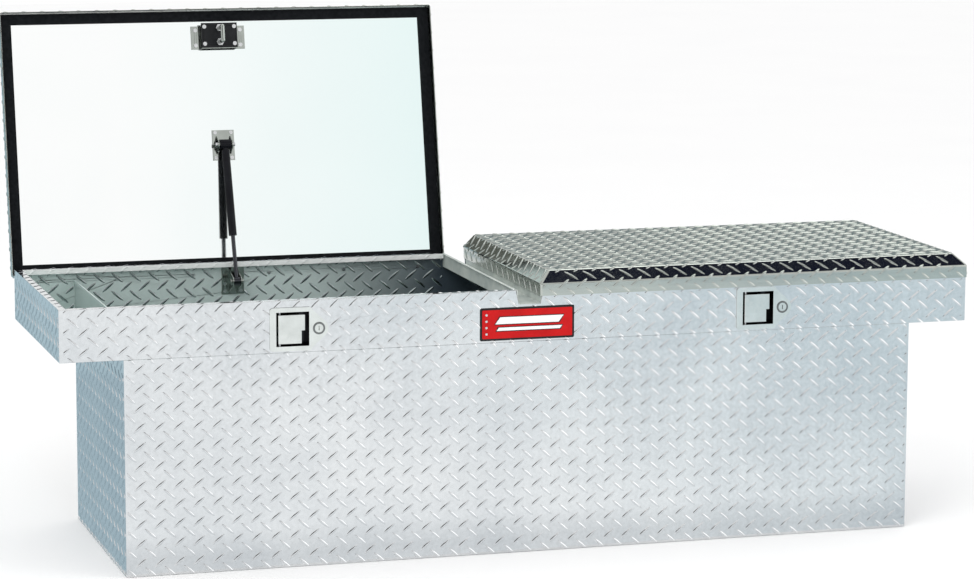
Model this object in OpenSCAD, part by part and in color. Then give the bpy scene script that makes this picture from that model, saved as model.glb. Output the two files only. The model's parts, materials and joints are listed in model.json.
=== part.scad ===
// Crossover truck tool box with two gull-wing lids, tread-plate sheet metal.
// The origin is the centre of the tub's underside. +X runs along the box,
// +Y to the hinge side and +Z up. The left lid stands open, the right lid is closed.

/* [Box] */
// Length over the two wings
box_l = 1771; // [1600:1:1850]
// Width from the front face to the rear face
box_w = 508; // [480:1:520]
// Height of the rim above the tub's underside
rim_z = 499.5; // [490:0.5:520]
// Length of the tub between the truck's side rails
tub_l = 1537; // [1400:1:1600]
// Height of the wings' underside, which rests on the truck's side rails
wing_z = 402.5; // [395:0.5:403]
// Thickness of the aluminium sheet
sheet = 1.5; // [1.2:0.1:1.6]

/* [Rim] */
// Width of the rim's inward flange
rim_flange = 14.5; // [12:0.5:16]
// Depth of the rim flange's turned-down edge
rim_return = 10; // [6:0.5:12]
// Drop of the tub's end lips below the rim
lip_drop = 24.5; // [20:0.5:35]
// Width of the water channel between the two openings
gutter_w = 49.4; // [46:0.2:54]
// Depth of the water channel
gutter_depth = 26.5; // [20:0.5:30]

/* [Lids] */
// Gap between the two closed lids
lid_gap = 38.8; // [36:0.2:42]
// Gap between the rim and the inside of a lid's skirt at the front
skirt_gap = 1.5; // [1:0.1:2]
// Drop of a lid's skirt below the rim
skirt_drop = 12; // [11:0.5:12.5]
// Height of a lid's top above the rim
lid_rise = 33.5; // [32:0.5:36]
// Size of the sloped band round a lid's top
bevel = 22; // [18:0.5:23]
// Radius of a lid's vertical corners
corner_r = 5; // [4:0.5:5]
// Opening angle of the left lid
left_open = 102; // [0:1:102]
// Opening angle of the right lid
right_open = 0; // [0:1:102]

/* [Hinges] */
// Drop of the hinge axis below the rim
hinge_drop = 13.5; // [12:0.5:15]
// Radius of the hinge pin
hinge_pin_r = 1.5; // [1.2:0.1:1.6]
// Outer radius of the hinge knuckles
knuckle_r = 3; // [2.8:0.1:3.2]
// Length of one knuckle with its gap
knuckle_pitch = 50.8; // [50:0.1:50.8]
// Distance between the hinge rivets
rivet_pitch = 152.4; // [150:0.1:153]

/* [Latches] */
// Distance of each latch from the middle of the box
latch_x = 455; // [430:1:480]
// Turn of a paddle when it is pulled
paddle_turn = 0; // [0:1:25]
// Turn of a key plug
lock_turn = 0; // [0:1:90]

/* [Struts] */
// Distance of the strut's lid pivot from the hinge axis
strut_reach = 244; // [235:1:250]
// Length of the strut's cylinder
tube_l = 172; // [165:1:175]
// Radius of the strut's cylinder
tube_r = 8; // [7.5:0.5:10]

/* [Hidden] */
$fn = 48;

LEFT = -1;
RIGHT = 1;
fit = 0.05;          // radial play of a pin in its bore, and of a rivet in its hole
front_y = -box_w / 2;
rear_y = box_w / 2;
half_l = box_l / 2;
half_tub = tub_l / 2;
lip_z = rim_z - lip_drop;
gutter_z = rim_z - gutter_depth;
leg_x = gutter_w / 2;

// Lids, drawn closed on the right-hand side
lid_x0 = lid_gap / 2;
lid_x1 = half_l + 2.5;
lid_y0 = front_y - skirt_gap - sheet;
lid_y1 = rear_y + knuckle_r + sheet;
lid_top = rim_z + lid_rise;
skirt_z = rim_z - skirt_drop;
bevel_z = lid_top - bevel;
liner_t = 1.2;
liner_z = rim_z + 6.5;
liner_top = liner_z + 13;
seal_w = 20;
seal_z = rim_z + 1.3;

// Hinges
hinge_y = rear_y + knuckle_r;
hinge_z = rim_z - hinge_drop;
hinge_x0 = lid_x0 + 2.5;
knuckles = 17;
knuckle_gap = 0.5;
leaf_l = knuckles * knuckle_pitch - knuckle_gap;
leaf_drop = 24;
leaf_rise = 23;
rivet_x0 = 77;
rivets_per_leaf = 6;
body_rivet_z = hinge_z - 12;
lid_rivet_z = hinge_z + 12;

// Latches, in the latch's own X and the box's Y and Z
latch_z = 446;
bezel_t = 2.5;
bezel_h = 80.5;
bezel_left = -43;
bezel_right = 37;
recess_w = 62;
recess_h = 63.5;
dish_t = 1.2;
dish_back = front_y + 22;
lock_x = 49.5;
barrel_r = 11.6;
plug_r = 8;
cam_y = dish_back + 2;
paddle_t = 2;
paddle_pivot = [-23, front_y + 5];
paddle_pin_r = 2;
arm_z = 421;
arm_h = 8;
arm_reach = 32;
hook_pivot = [-22, latch_z];
hook_ratio = 1.56;
hook_y = front_y + 50;
hook_t = 5;
hook_pin_r = 3;
trip_pin = [-17.1, latch_z - 22];
case_front = hook_y - 8;
case_back = hook_y + 8;
case_bottom = latch_z - 34;
case_top = latch_z + 36;
striker_y = hook_y;
loop_r = 4;
loop_half = 14;
loop_z = latch_z + 10;
plate_z = rim_z - 12;
plate_t = 2.5;
plate_half = [36, 24.5];

// Struts, in the plane across the box through the middle of each latch
strut_low = [rear_y - 40, rim_z - 34.5];
strut_high = [-strut_reach, 4];
rod_r = 4;
rod_l = 180;
eye_r = 10;
low_eye_r = 8;
strut_pin_r = 3;
ear_gap = 7;
bracket_t = 2;
lid_ear_gap = 12.8;

// Badge
badge_x = -5;
badge_size = [184, 62];
badge_z = 437.5;
badge_border = 4;

ALUMINIUM = [0.80, 0.81, 0.83];
LINER_WHITE = [0.90, 0.92, 0.93];
CHROME = [0.75, 0.76, 0.78];
STEEL = [0.62, 0.63, 0.66];
BLACK = [0.05, 0.05, 0.06];
RED = [0.78, 0.08, 0.10];

// Lid angle of one side
function open_of(side) = side == LEFT ? left_open : right_open;
// A point given from the hinge axis on the closed lid, turned to the angle a, as [y, z]
function on_lid(p, a) = [
    hinge_y + p[0] * cos(a) + p[1] * sin(a),
    hinge_z - p[0] * sin(a) + p[1] * cos(a)
];
// Length and direction of the strut when the lid stands at the angle a
function strut_vector(a) = on_lid(strut_high, a) - strut_low;
function strut_length(a) = norm(strut_vector(a));
function strut_angle(a) = atan2(strut_vector(a)[1], strut_vector(a)[0]);
function rivet_xs() = [for (i = [0 : rivets_per_leaf - 1]) rivet_x0 + i * rivet_pitch];

// A box between two corners
module box(low, high) {
    translate(low) cube(high - low);
}

// Cylinders along each axis, from a start point
module rod_x(p, r, l) {
    translate(p) rotate([0, 90, 0]) cylinder(r = r, h = l);
}
module rod_y(p, r, l) {
    translate(p) rotate([-90, 0, 0]) cylinder(r = r, h = l);
}
module rod_z(p, r, l) {
    translate(p) cylinder(r = r, h = l);
}

// An outline drawn in X and Z, extruded along +Y from y by t
module slab_xz(y, t) {
    translate([0, y + t, 0]) rotate([90, 0, 0]) linear_extrude(t) children();
}
// An outline drawn in Y and Z, extruded along +X from x by t
module slab_yz(x, t) {
    translate([x, 0, 0]) rotate([90, 0, 90]) linear_extrude(t) children();
}

module rounded_rect(low, high, r) {
    translate([low[0] + r, low[1]]) square([high[0] - low[0] - 2 * r, high[1] - low[1]]);
    translate([low[0], low[1] + r]) square([high[0] - low[0], high[1] - low[1] - 2 * r]);
    for (x = [low[0] + r, high[0] - r], y = [low[1] + r, high[1] - r]) {
        translate([x, y]) circle(r);
    }
}

// A rivet along Y with its head at +Y: grip is what it holds together
module rivet_y(p, grip, head_r = 4.5, shank_r = 2.4) {
    rod_y(p, shank_r, grip);
    rod_y(p + [0, grip, 0], head_r, 1.5);
    rod_y(p - [0, 1.2, 0], shank_r + 0.9, 1.2);
}
module rivet_y_hole(p, shank_r = 2.4) {
    rod_y(p - [0, 5, 0], shank_r + fit, 10);
}
// A rivet along Z with its head at -Z
module rivet_z(p, grip, head_r = 4, shank_r = 2.4) {
    rod_z(p, shank_r, grip);
    rod_z(p - [0, 0, 1.4], head_r, 1.4);
    rod_z(p + [0, 0, grip], shank_r + 0.9, 1.2);
}
module rivet_z_hole(p, shank_r = 2.4) {
    rod_z(p - [0, 0, 5], shank_r + fit, 10);
}

// Places a latch part at its side of the box
module at_latch(side) {
    translate([side * latch_x, 0, 0]) children();
}
// Mirrors a right-hand part to its side
module at_side(side) {
    if (side == LEFT) {
        mirror([1, 0, 0]) children();
    } else {
        children();
    }
}
// Turns a closed lid's part about the hinge axis
module on_hinge(side) {
    translate([0, hinge_y, hinge_z])
        rotate([-open_of(side), 0, 0])
            translate([0, -hinge_y, -hinge_z]) children();
}

/* ---- tub ---- */

module tub_front() {
    color(ALUMINIUM) box([-half_tub, front_y, 0], [half_tub, front_y + sheet, wing_z]);
}

module tub_rear() {
    color(ALUMINIUM) box([-half_tub, rear_y - sheet, 0], [half_tub, rear_y, wing_z]);
}

module tub_floor() {
    color(ALUMINIUM)
        box([-half_tub, front_y + sheet, 0], [half_tub, rear_y - sheet, sheet]);
}

// End wall of the tub: its top is a lip that stands above the wing's floor
module tub_end(side) {
    hem = 8;
    color(ALUMINIUM) at_side(side) {
        box([half_tub - sheet, front_y + sheet, sheet], [half_tub, rear_y - sheet, lip_z]);
        box([half_tub, front_y + sheet, lip_z - hem], [half_tub + sheet, rear_y - sheet, lip_z]);
    }
}

/* ---- rim, wings and gutter ---- */

// Section of a long rail in Y and Z: web, inward flange and turned-down edge
module rail_section() {
    translate([front_y, wing_z]) square([sheet, rim_z - wing_z]);
    translate([front_y, rim_z - sheet]) square([rim_flange, sheet]);
    translate([front_y + rim_flange - sheet, rim_z - rim_return]) square([sheet, rim_return]);
}

// Shortens the turned-down edge so that it stops at the wing's own flange
module rail_ends_cut() {
    inside = front_y + sheet;
    for (side = [LEFT, RIGHT]) at_side(side) {
        box([half_l - rim_flange, inside, rim_z - rim_return - 1],
            [half_l, inside + rim_flange, rim_z - sheet]);
    }
}

module rail_blank() {
    difference() {
        slab_yz(-half_l, box_l) rail_section();
        rail_ends_cut();
    }
}

// Opening in the front rail for one latch
module latch_cutout() {
    hole = [recess_w / 2 + dish_t + 0.4, recess_h / 2 + dish_t + 0.4];
    box([-hole[0], front_y - 5, latch_z - hole[1]], [hole[0], front_y + 5, latch_z + hole[1]]);
    rod_y([lock_x, front_y - 5, latch_z], barrel_r + 0.5, 10);
}

// Notch at the middle of a rail, down to the gutter's floor
module gutter_notch(bottom) {
    top_half = leg_x + 1.5;
    slab_xz(front_y - 5, rim_flange + 10) polygon([
        [-top_half, rim_z + 5], [top_half, rim_z + 5],
        [top_half, rim_z - 5], [top_half - 5, bottom],
        [-top_half + 5, bottom], [-top_half, rim_z - 5]
    ]);
}

module flange_notch() {
    half = leg_x + 1.5;
    box([-half, front_y + sheet, rim_z - 20], [half, front_y + 20, rim_z + 5]);
}

module rail_front() {
    color(ALUMINIUM) difference() {
        rail_blank();
        gutter_notch(gutter_z);
        flange_notch();
        for (side = [LEFT, RIGHT]) at_latch(side) latch_cutout();
    }
}

module rail_rear() {
    color(ALUMINIUM) difference() {
        mirror([0, 1, 0]) rail_blank();
        mirror([0, 1, 0]) gutter_notch(gutter_z);
        mirror([0, 1, 0]) flange_notch();
        for (side = [LEFT, RIGHT]) {
            at_side(side) for (x = rivet_xs()) rivet_y_hole([x, rear_y, body_rivet_z]);
            at_latch(side) strut_bracket_holes();
        }
    }
}

// Wing: tray floor, end wall and the rim across the end
module wing(side) {
    inside = box_w / 2 - sheet;
    flange_y = box_w / 2 - rim_flange;
    bolt_y = 150;
    bolt_r = 5.5;
    color(ALUMINIUM) at_side(side) difference() {
        union() {
            box([half_tub, -inside, wing_z], [half_l, inside, wing_z + sheet]);
            box([half_l - sheet, -inside, wing_z], [half_l, inside, rim_z - sheet]);
            box([half_l - rim_flange, -flange_y, rim_z - sheet], [half_l, flange_y, rim_z]);
            box([half_l - rim_flange, -flange_y, rim_z - rim_return],
                [half_l - rim_flange + sheet, flange_y, rim_z]);
        }
        for (s = [-1, 1]) {
            rod_z([(half_tub + half_l) / 2, s * bolt_y, wing_z - 5], bolt_r, 10);
        }
    }
}

// Water channel between the two openings; each wall's top edge is hemmed outwards
module gutter() {
    inside = box_w / 2 - sheet;
    hem_y = box_w / 2 - rim_flange;
    hem_w = 4;
    color(ALUMINIUM) {
        box([-leg_x, -inside, gutter_z - sheet], [leg_x, inside, gutter_z]);
        for (side = [LEFT, RIGHT]) at_side(side) {
            box([leg_x - sheet, -inside, gutter_z - sheet], [leg_x, inside, rim_z]);
            box([leg_x - sheet, -hem_y, rim_z - sheet], [leg_x + hem_w, hem_y, rim_z]);
        }
    }
}

/* ---- hinges ---- */

// Knuckles of one leaf: first is 0 for the body's leaf and 1 for the lid's
module knuckle_row(first) {
    for (i = [first : 2 : knuckles - 1]) {
        rod_x([hinge_x0 + i * knuckle_pitch, hinge_y, hinge_z], knuckle_r, knuckle_pitch - knuckle_gap);
    }
}

// Fingers that join a leaf's plate to its own knuckles, between y0 and y0 + sheet
module leaf_fingers(first, y0, z0, z1) {
    for (i = [first : 2 : knuckles - 1]) {
        x = hinge_x0 + i * knuckle_pitch;
        box([x, y0, z0], [x + knuckle_pitch - knuckle_gap, y0 + sheet, z1]);
    }
}

module hinge_bore() {
    spare = 5;
    rod_x([hinge_x0 - spare, hinge_y, hinge_z], hinge_pin_r + fit, leaf_l + 2 * spare);
}

module hinge_leaf_body(side) {
    plate_top = hinge_z - knuckle_r - 0.5;
    color(STEEL) at_side(side) difference() {
        union() {
            knuckle_row(0);
            box([hinge_x0, rear_y, hinge_z - leaf_drop], [hinge_x0 + leaf_l, rear_y + sheet, plate_top]);
            leaf_fingers(0, rear_y, plate_top, hinge_z);
        }
        hinge_bore();
        for (x = rivet_xs()) rivet_y_hole([x, rear_y, body_rivet_z]);
    }
}

module hinge_leaf_lid(side) {
    plate_bottom = hinge_z + knuckle_r + 0.5;
    color(STEEL) on_hinge(side) at_side(side) difference() {
        union() {
            knuckle_row(1);
            box([hinge_x0, lid_y1, plate_bottom], [hinge_x0 + leaf_l, lid_y1 + sheet, hinge_z + leaf_rise]);
            leaf_fingers(1, lid_y1, hinge_z, plate_bottom);
        }
        hinge_bore();
        for (x = rivet_xs()) rivet_y_hole([x, lid_y1, lid_rivet_z]);
    }
}

module hinge_pins() {
    color(STEEL) for (side = [LEFT, RIGHT]) {
        at_side(side) rod_x([hinge_x0, hinge_y, hinge_z], hinge_pin_r, leaf_l);
    }
}

/* ---- lids ---- */

// Outline of a lid in plan, set in by d
module lid_plan(d) {
    rounded_rect([lid_x0 + d, lid_y0 + d], [lid_x1 - d, lid_y1 - d], corner_r - d);
}

// The solid form of a lid set in by d: sloped band at the front and both ends
module lid_form(d, bottom) {
    top = lid_top - d;
    rise = bevel_z - d * (sqrt(2) - 1);
    run = bevel + d * (sqrt(2) - 1);
    intersection() {
        slab_yz(lid_x0, lid_x1 - lid_x0) polygon([
            [lid_y0 + d, bottom], [lid_y1 - d, bottom], [lid_y1 - d, top],
            [lid_y0 + run, top], [lid_y0 + d, rise]
        ]);
        slab_xz(lid_y0, lid_y1 - lid_y0) polygon([
            [lid_x0 + d, bottom], [lid_x1 - d, bottom], [lid_x1 - d, rise],
            [lid_x1 - run, top], [lid_x0 + run, top], [lid_x0 + d, rise]
        ]);
        translate([0, 0, bottom]) linear_extrude(lid_top - bottom) lid_plan(d);
    }
}

module lid_skin(side) {
    knuckle_clear = 1;
    color(ALUMINIUM) on_hinge(side) at_side(side) difference() {
        lid_form(0, skirt_z);
        lid_form(sheet, skirt_z - 1);
        box([lid_x0 + sheet + 0.5, rear_y, skirt_z - 1],
            [lid_x1 - sheet - 0.5, lid_y1 + 1, hinge_z + knuckle_r + knuckle_clear]);
        for (x = rivet_xs()) rivet_y_hole([x, lid_y1, lid_rivet_z]);
    }
}

// Inner panel: a shallow pan with its edge turned up along the skin
module lid_liner(side) {
    play = 0.3;
    color(LINER_WHITE) on_hinge(side) at_side(side) difference() {
        lid_form(sheet + play, liner_z);
        lid_form(sheet + play + liner_t, liner_z + liner_t);
        box([0, lid_y0 - 1, liner_top], [lid_x1 + 1, lid_y1 + 1, lid_top + 1]);
        for (p = liner_rivets()) rivet_z_hole([p[0], p[1], liner_z]);
    }
}

module lid_seal(side) {
    inset = sheet + 1.5;
    color(BLACK) on_hinge(side) at_side(side) translate([0, 0, seal_z]) {
        linear_extrude(liner_z - seal_z) difference() {
            lid_plan(inset);
            translate([lid_x0 + inset + seal_w, lid_y0 + inset + seal_w])
                square([lid_x1 - lid_x0 - 2 * (inset + seal_w), lid_y1 - lid_y0 - 2 * (inset + seal_w)]);
        }
    }
}

// Rivets through the liner: four for the striker's bracket and four for the strut's
function liner_rivets() = [
    for (p = concat(hat_rivets(), lid_bracket_rivets())) p
];
function hat_rivets() = [for (x = [-45, 45], y = [-15, 15]) [latch_x + x, striker_y + 3 + y]];
function lid_bracket_rivets() = [
    for (x = [-16, 16], y = [-25, 25]) [latch_x + x, hinge_y - strut_reach + y]
];
function plate_rivets() = [for (x = [-30, 30], y = [-17, 17]) [latch_x + x, striker_y + y]];

/* ---- striker on each lid ---- */

// Hat-shaped bracket under the liner
module striker_bracket(side) {
    half_w = plate_half[0];
    flange = 18;
    y0 = striker_y - 20;
    y1 = striker_y + 26;
    top = plate_z + plate_t;
    color(CHROME) on_hinge(side) at_side(side) difference() {
        translate([latch_x, 0, 0]) {
            box([-half_w, y0, top], [half_w, y1, top + sheet]);
            for (x = [-half_w, half_w - sheet]) box([x, y0, top], [x + sheet, y1, liner_z]);
            box([-half_w - flange, y0, liner_z - sheet], [-half_w, y1, liner_z]);
            box([half_w, y0, liner_z - sheet], [half_w + flange, y1, liner_z]);
        }
        for (p = hat_rivets()) rivet_z_hole([p[0], p[1], liner_z]);
        for (p = plate_rivets()) rivet_z_hole([p[0], p[1], top]);
        for (s = [-1, 1]) rod_z([latch_x, striker_y + s * loop_half, top - 1], loop_r + fit, 10);
    }
}

module striker_plate(side) {
    color(BLACK) on_hinge(side) at_side(side) difference() {
        box([latch_x - plate_half[0], striker_y - plate_half[1], plate_z],
            [latch_x + plate_half[0], striker_y + plate_half[1], plate_z + plate_t]);
        for (p = plate_rivets()) rivet_z_hole([p[0], p[1], plate_z]);
        for (s = [-1, 1]) rod_z([latch_x, striker_y + s * loop_half, plate_z - 1], loop_r + fit, 10);
    }
}

// U-bolt that the hook catches
module striker_loop(side) {
    leg_top = liner_z - 4;
    color(CHROME) on_hinge(side) at_side(side) translate([latch_x, striker_y, 0]) {
        rod_y([0, -loop_half, loop_z], loop_r, 2 * loop_half);
        for (s = [-1, 1]) {
            translate([0, s * loop_half, loop_z]) sphere(loop_r);
            rod_z([0, s * loop_half, loop_z], loop_r, leg_top - loop_z);
        }
    }
}

/* ---- struts ---- */

// Ear of a clevis in Y and Z: round end at the tip, straight edges back to the base
module ear_outline(tip, r, base_a, base_b) {
    difference() {
        union() {
            translate(tip) circle(r);
            polygon([base_a, tip + [0, -r], tip + [0, r], base_b]);
        }
        translate(tip) circle(strut_pin_r + fit);
    }
}

// Rivets of the bracket on the rear rail, in X and Z, below the hinge leaf
function strut_bracket_rivets() = [
    for (x = [-16, 16], z = [-24, -9.5]) [x, strut_low[1] + z]
];

module strut_bracket_holes() {
    for (p = strut_bracket_rivets()) rivet_y_hole([p[0], rear_y - sheet, p[1]]);
}

// Clevis on the inside of the rear rail
module strut_bracket_body(side) {
    wall = rear_y - sheet;
    half_w = 22.5;
    low = strut_low[1] - 31;
    high = strut_low[1] + 24;
    color(CHROME) at_latch(side) difference() {
        union() {
            box([-half_w, wall - bracket_t, low], [half_w, wall, high]);
            for (x = [ear_gap, -ear_gap - bracket_t]) {
                slab_yz(x, bracket_t)
                    ear_outline(strut_low, eye_r, [wall - bracket_t, low + 3], [wall - bracket_t, high - 3]);
            }
        }
        strut_bracket_holes();
    }
}

module strut_pivot_pins() {
    reach = 11;
    color(STEEL) for (side = [LEFT, RIGHT]) at_latch(side) {
        rod_x([-reach, strut_low[0], strut_low[1]], strut_pin_r, 2 * reach);
        for (x = [-reach - 2, reach]) rod_x([x, strut_low[0], strut_low[1]], strut_pin_r + 2, 2);
    }
}

// Clevis on the liner; its ears stand clear on both sides of the strut's eye
module strut_bracket_lid(side) {
    plate = 1.8;
    pivot = [hinge_y - strut_reach, hinge_z + strut_high[1]];
    base = liner_z - sheet;
    color(CHROME) on_hinge(side) at_side(side) difference() {
        translate([latch_x, 0, 0]) {
            box([-22, pivot[0] - 30, base], [22, pivot[0] + 30, liner_z]);
            for (x = [lid_ear_gap, -lid_ear_gap - plate]) slab_yz(x, plate) {
                translate(pivot) circle(9);
                polygon([
                    [pivot[0] - 18, base], pivot + [-9, 0], pivot + [9, 0], [pivot[0] + 18, base]
                ]);
            }
        }
        for (p = lid_bracket_rivets()) rivet_z_hole([p[0], p[1], liner_z]);
    }
}

// Strut parts are drawn along +Z from the lower pivot and turned to the strut's direction
module along_strut(side) {
    translate([side * latch_x, strut_low[0], strut_low[1]])
        rotate([strut_angle(open_of(side)) - 90, 0, 0]) children();
}

module strut_rod(side) {
    piston_r = tube_r - 1.6;
    piston_h = 12;
    width = 2 * ear_gap - 2;
    color(CHROME) along_strut(side) difference() {
        union() {
            rod_x([-width / 2, 0, 0], low_eye_r, width);
            cylinder(r = rod_r, h = rod_l);
            translate([0, 0, rod_l - piston_h]) cylinder(r = piston_r, h = piston_h);
        }
        rod_x([-width, 0, 0], strut_pin_r + fit, 2 * width);
    }
}

// Cylinder of the strut with its eye
module strut_tube(side) {
    length = strut_length(open_of(side));
    eye_w = 22;
    neck = 12;
    bottom = length - neck - tube_l;
    gland = 8;
    color(BLACK) along_strut(side) difference() {
        union() {
            translate([0, 0, bottom]) cylinder(r = tube_r, h = tube_l);
            translate([0, 0, length - neck - 1]) cylinder(r = 6, h = neck);
            rod_x([-eye_w / 2, 0, length], eye_r, eye_w);
        }
        translate([0, 0, bottom - 1]) cylinder(r = rod_r + 0.08, h = gland + 2);
        translate([0, 0, bottom + gland]) cylinder(r = tube_r - 1.5, h = tube_l - gland - 4);
        rod_x([-eye_w, 0, length], loop_r + fit, 2 * eye_w);
    }
}

module strut_stud(side) {
    half = lid_ear_gap - 0.4;
    color(CHROME) along_strut(side)
        rod_x([-half, 0, strut_length(open_of(side))], loop_r, 2 * half);
}

/* ---- latches ---- */

// Bezel outline in X and Z: rounded rectangle that tapers to a round tip at the lock
module bezel_outline() {
    half_h = bezel_h / 2;
    tip_r = 18;
    translate([0, latch_z]) {
        rounded_rect([bezel_left, -half_h], [bezel_right, half_h], 6);
        translate([lock_x, 0]) circle(tip_r);
        polygon([
            [bezel_right - 6, half_h], [lock_x + tip_r * cos(50), tip_r * sin(50)],
            [lock_x + tip_r * cos(50), -tip_r * sin(50)], [bezel_right - 6, -half_h]
        ]);
    }
}

// Slot in the dish's back that the paddle's arm reaches through
module arm_slot() {
    box([-29, dish_back - 5, arm_z - 1.5], [-5, dish_back + 5, arm_z + arm_h + 1.5]);
}

module latch_bezel(side) {
    half = [recess_w / 2, recess_h / 2];
    wall = half + [dish_t, dish_t];
    color(CHROME) at_latch(side) difference() {
        union() {
            slab_xz(front_y - bezel_t, bezel_t) bezel_outline();
            box([-wall[0], front_y - 0.1, latch_z - wall[1]],
                [wall[0], dish_back + dish_t, latch_z + wall[1]]);
        }
        box([-half[0], front_y - 5, latch_z - half[1]], [half[0], dish_back, latch_z + half[1]]);
        arm_slot();
        rod_y([lock_x, front_y - 5, latch_z], barrel_r + fit, 10);
        rod_z([paddle_pivot[0], paddle_pivot[1], latch_z - 50], paddle_pin_r + fit, 100);
    }
}

// Housing behind the front rail; the striker drops into its slot
module latch_case(side) {
    left = -38;
    right = 39.5;
    web = 30;
    wall = front_y + sheet;
    foot = 14;
    arm_low = latch_z + 22;
    color(STEEL) at_latch(side) difference() {
        union() {
            box([left, case_front, case_bottom], [right, case_front + sheet, case_top]);
            box([left, case_back - sheet, case_bottom], [web, case_back, case_top]);
            box([left, case_front, case_bottom], [web, case_back, case_bottom + sheet]);
            box([web - sheet, case_front, case_bottom], [web, case_back, case_top]);
            box([left, wall, case_bottom], [left + sheet, case_front + sheet, case_top]);
            box([left - foot, wall, case_bottom], [left + sheet, wall + sheet, case_top]);
            box([right - sheet, wall, arm_low], [right, case_front + sheet, case_top]);
            box([right - sheet, wall, arm_low], [right + foot, wall + sheet, case_top]);
        }
        box([-5.5, case_front - 1, loop_z - 7], [5.5, case_back + 1, case_top + 1]);
        box([-21, case_front - 1, trip_pin[1] - 4], [0.5, case_front + sheet + 1, trip_pin[1] + 12]);
        rod_y([hook_pivot[0], case_front - 5, hook_pivot[1]], hook_pin_r + fit, 40);
    }
}

module hook_pivots() {
    length = case_back - case_front;
    color(STEEL) for (side = [LEFT, RIGHT]) at_latch(side) {
        rod_y([hook_pivot[0], case_front, hook_pivot[1]], hook_pin_r, length);
        for (y = [case_front - 1.5, case_back]) {
            rod_y([hook_pivot[0], y, hook_pivot[1]], hook_pin_r + 2, 1.5);
        }
    }
}

// Hook that swings over the striker; the paddle's arm pushes its trip pin
module latch_hook(side) {
    nose_z = loop_z + loop_r + 0.5;
    px = hook_pivot[0];
    pz = hook_pivot[1];
    color(CHROME) at_latch(side)
        translate([px, 0, pz]) rotate([0, -hook_ratio * paddle_turn, 0]) translate([-px, 0, -pz])
            difference() {
                union() {
                    slab_xz(hook_y - hook_t / 2, hook_t) {
                        translate(hook_pivot) circle(8);
                        translate(trip_pin) circle(5);
                        polygon([
                            [-28, pz], [-27, pz + 16], [-19, pz + 25], [-12, pz + 25],
                            [4.5, nose_z + 1.5], [4.5, nose_z], [-7, nose_z],
                            [-13, pz + 6], [-14, pz], trip_pin + [5, 0], trip_pin - [5, 0]
                        ]);
                    }
                    rod_y([trip_pin[0], case_front - 10, trip_pin[1]], 2.5, hook_y - case_front + 10);
                }
                rod_y([px, hook_y - 10, pz], hook_pin_r + fit, 20);
            }
}

// Paddle plate with a finger notch, its pivot lugs and the arm that trips the hook
module paddle(side) {
    left = -27;
    right = 23;
    low = latch_z - 27;
    high = latch_z + 26.5;
    face = front_y - bezel_t;
    px = paddle_pivot[0];
    py = paddle_pivot[1];
    lug = 4;
    color(CHROME) at_latch(side)
        translate([px, py, 0]) rotate([0, 0, -paddle_turn]) translate([-px, -py, 0])
            difference() {
                union() {
                    box([left, face, low], [right, face + paddle_t, high]);
                    for (z = [[arm_z, arm_z + arm_h], [high - 8, high - 4]]) {
                        box([px - lug, face, z[0]], [px + lug, py + 3, z[1]]);
                    }
                    box([px - 3, py, arm_z], [px + 3, py + arm_reach, arm_z + arm_h]);
                }
                box([right - 6, face - 1, low - 1], [right + 1, face + paddle_t + 1, latch_z - 3]);
                rod_z([px, py, low - 1], paddle_pin_r + fit, high - low + 2);
            }
}

module paddle_pins() {
    reach = recess_h / 2 + dish_t + 1;
    color(STEEL) for (side = [LEFT, RIGHT]) at_latch(side) {
        rod_z([paddle_pivot[0], paddle_pivot[1], latch_z - reach], paddle_pin_r, 2 * reach);
    }
}

// Closed coil of wire along +Z
module coil(r, wire_r, turns) {
    for (i = [0 : turns - 1]) {
        translate([0, 0, wire_r + i * (2 * wire_r + fit)])
            rotate_extrude() translate([r, 0]) circle(wire_r, $fn = 24);
    }
}

// Return springs: one on each paddle pin and one beside each hook
module latch_springs() {
    color(STEEL) for (side = [LEFT, RIGHT]) at_latch(side) {
        translate([paddle_pivot[0], paddle_pivot[1], latch_z - 8]) coil(3.2, 0.6, 10);
        translate([hook_pivot[0], case_back - sheet - 0.2, hook_pivot[1]])
            rotate([90, 0, 0]) coil(4.6, 0.6, 3);
    }
}

module lock_barrel(side) {
    color(CHROME) at_latch(side) difference() {
        rod_y([lock_x, front_y - bezel_t - 1, latch_z], barrel_r, 26);
        rod_y([lock_x, front_y - 10, latch_z], plug_r + fit, 50);
    }
}

module on_lock(side) {
    at_latch(side) translate([lock_x, 0, latch_z]) rotate([0, -lock_turn, 0]) children();
}

module lock_plug(side) {
    face = front_y - bezel_t - 0.6;
    tail = 4.5;
    color(STEEL) on_lock(side) difference() {
        union() {
            rod_y([0, face, 0], plug_r, cam_y - face);
            rod_y([0, face, 0], 3, cam_y - face + tail);
        }
        box([-0.7, face - 1, -4], [0.7, face + 8, 4]);
    }
}

module lock_cam(side) {
    cam_l = 22;
    cam_t = 2;
    color(STEEL) on_lock(side) difference() {
        union() {
            slab_xz(cam_y, cam_t) {
                circle(8);
                translate([-4.5, 0]) square([9, cam_l]);
            }
            rod_y([0, cam_y + cam_t, 0], 5.5, 2.5, $fn = 6);
        }
        rod_y([0, cam_y - 1, 0], 3 + fit, 10);
    }
}

/* ---- badge and fasteners ---- */

module badge_plate() {
    y = front_y - 1.2;
    color(BLACK) slab_xz(y, 1.2) rounded_rect(
        [badge_x - badge_size[0] / 2, badge_z - badge_size[1] / 2],
        [badge_x + badge_size[0] / 2, badge_z + badge_size[1] / 2], 3
    );
}

module badge_face() {
    y = front_y - 1.8;
    half = badge_size / 2 - [badge_border, badge_border];
    color(RED) slab_xz(y, 0.6) rounded_rect(
        [badge_x - half[0], badge_z - half[1]], [badge_x + half[0], badge_z + half[1]], 2
    );
}

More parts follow.
